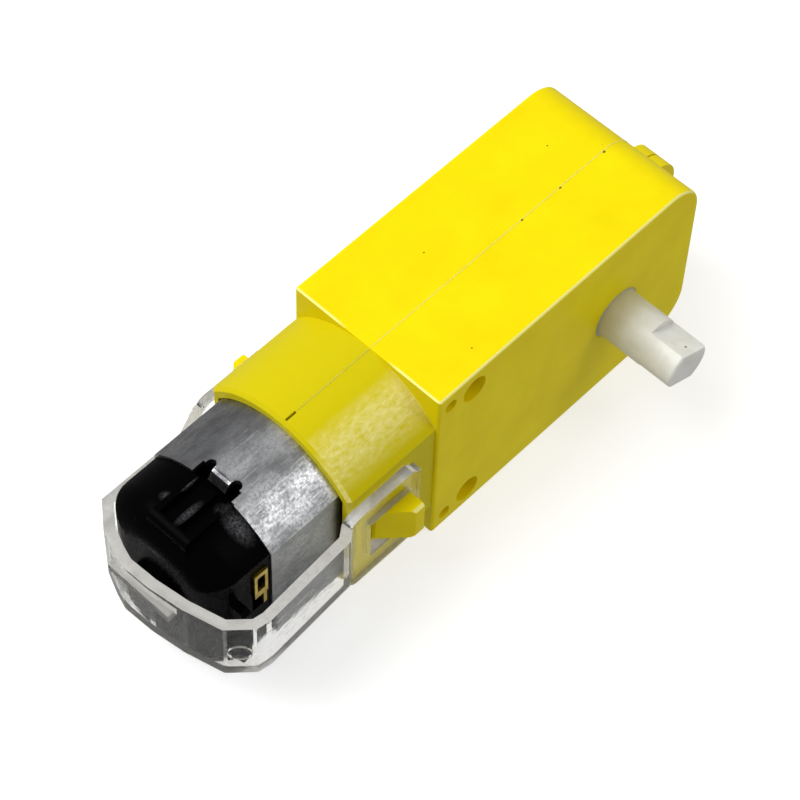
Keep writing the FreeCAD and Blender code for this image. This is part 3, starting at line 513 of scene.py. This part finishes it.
def parting_ridge(material):
    """The fine ridge of flash beside the case's parting line: a swept strip with a rounded crest."""
    y = PARTING_Y + RIDGE_SHIFT
    low, shoulder, crest = -RIDGE_RISE, RIDGE_RISE * 0.4, RIDGE_RISE * 0.9
    inner = RIDGE_HALF * 0.5
    section = [(-RIDGE_HALF, low), (-RIDGE_HALF, shoulder), (-inner, crest),
               (inner, crest), (RIDGE_HALF, shoulder), (RIDGE_HALF, low)]
    points = outline_points()
    mesh = bmesh.new()
    rows = []
    for i, (x, z) in enumerate(points):
        x0, z0 = points[max(i - 1, 0)]
        x1, z1 = points[min(i + 1, len(points) - 1)]
        length = math.hypot(x1 - x0, z1 - z0)
        out_x, out_z = -(z1 - z0) / length, (x1 - x0) / length
        row = [mesh.verts.new((x + out_x * up, y + across, z + out_z * up)) for across, up in section]
        rows.append(row)
    for near, far in zip(rows, rows[1:]):
        for k in range(len(section)):
            following = (k + 1) % len(section)
            mesh.faces.new((near[k], near[following], far[following], far[k]))
    mesh.faces.new(rows[0][::-1])
    mesh.faces.new(rows[-1])
    bmesh.ops.recalc_face_normals(mesh, faces=mesh.faces)
    data = bpy.data.meshes.new("parting_ridge")
    mesh.to_mesh(data)
    mesh.free()
    data.materials.append(material)
    ridge = bpy.data.objects.new("parting_ridge", data)
    bpy.context.scene.collection.objects.link(ridge)
    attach(ridge, "gearbox")
    return ridge


# ---------------------------------------------------------------- stage


FLOOR_GLOW = 0.62


def paper_floor():
    """A white paper sweep with a faint tooth."""
    look = Look("paper_white", (0.55, 0.55, 0.55), 0.8)
    tooth = look.noise(look.place(), 0.8, 4.0)
    look.colour(look.blend(tooth, (0.54, 0.54, 0.54), (0.56, 0.56, 0.56)))
    look.bump(tooth, 0.05, 0.05)
    look.shader.inputs["Emission Color"].default_value = (1, 1, 1, 1)
    look.shader.inputs["Emission Strength"].default_value = FLOOR_GLOW
    return look.material


def make_floor():
    bpy.ops.mesh.primitive_plane_add(size=4.0, location=(0, 0, FLOOR_Z))
    floor = bpy.context.object
    floor.name = "floor"
    floor.data.materials.append(paper_floor())
    floor.visible_diffuse = False
    floor.visible_glossy = False


# Lights: name, direction from the motor, distance, width and height, power
SUBJECT = Vector((-0.022, 0.008, 0.0))
LAMPS = (
    ("overhead", (-0.40, 0.52, 0.90), 0.60, (0.48, 0.48), 3.5),
    ("streak", (0.41, -0.62, 0.67), 0.55, (0.18, 0.30), 0.46),
)
SKY = 0.43


def make_lights():
    world = bpy.data.worlds.new("studio")
    bpy.context.scene.world = world
    world.use_nodes = True
    world.node_tree.nodes["Background"].inputs["Color"].default_value = (1, 1, 1, 1)
    world.node_tree.nodes["Background"].inputs["Strength"].default_value = SKY
    for name, direction, distance, size, power in LAMPS:
        data = bpy.data.lights.new(name, "AREA")
        data.shape = "RECTANGLE"
        data.size, data.size_y = size
        data.energy = power
        lamp = bpy.data.objects.new(name, data)
        bpy.context.scene.collection.objects.link(lamp)
        away = Vector(direction).normalized()
        lamp.location = SUBJECT + away * distance
        lamp.rotation_euler = (-away).to_track_quat("-Z", "Y").to_euler()


CAMERA_AIM = Vector((-0.0222, 0.0079, 0.0))
CAMERA_DISTANCE = 0.2813
CAMERA_ELEVATION = math.radians(56.69)
CAMERA_AZIMUTH = math.radians(-138.25)
CAMERA_ROLL = math.radians(2.35)
CAMERA_LENS = 132.8
CAMERA_SENSOR = 36.0


def make_camera():
    """A long lens from behind the motor's right-hand side, looking down."""
    data = bpy.data.cameras.new("camera")
    data.lens = CAMERA_LENS
    data.sensor_width = CAMERA_SENSOR
    data.clip_start = 0.01
    camera = bpy.data.objects.new("camera", data)
    bpy.context.scene.collection.objects.link(camera)
    level = math.cos(CAMERA_ELEVATION)
    away = Vector((level * math.cos(CAMERA_AZIMUTH), level * math.sin(CAMERA_AZIMUTH), 0.0))
    away.z = math.sin(CAMERA_ELEVATION)
    turn = (-away).to_track_quat("-Z", "Y").to_matrix().to_4x4()
    place = Matrix.Translation(CAMERA_AIM + away * CAMERA_DISTANCE)
    camera.matrix_world = place @ turn @ Matrix.Rotation(CAMERA_ROLL, 4, "Z")
    bpy.context.scene.camera = camera


lemon = dress_all()
parting_ridge(lemon)
make_floor()
make_lights()
make_camera()
bpy.context.scene.view_settings.view_transform = "Standard"
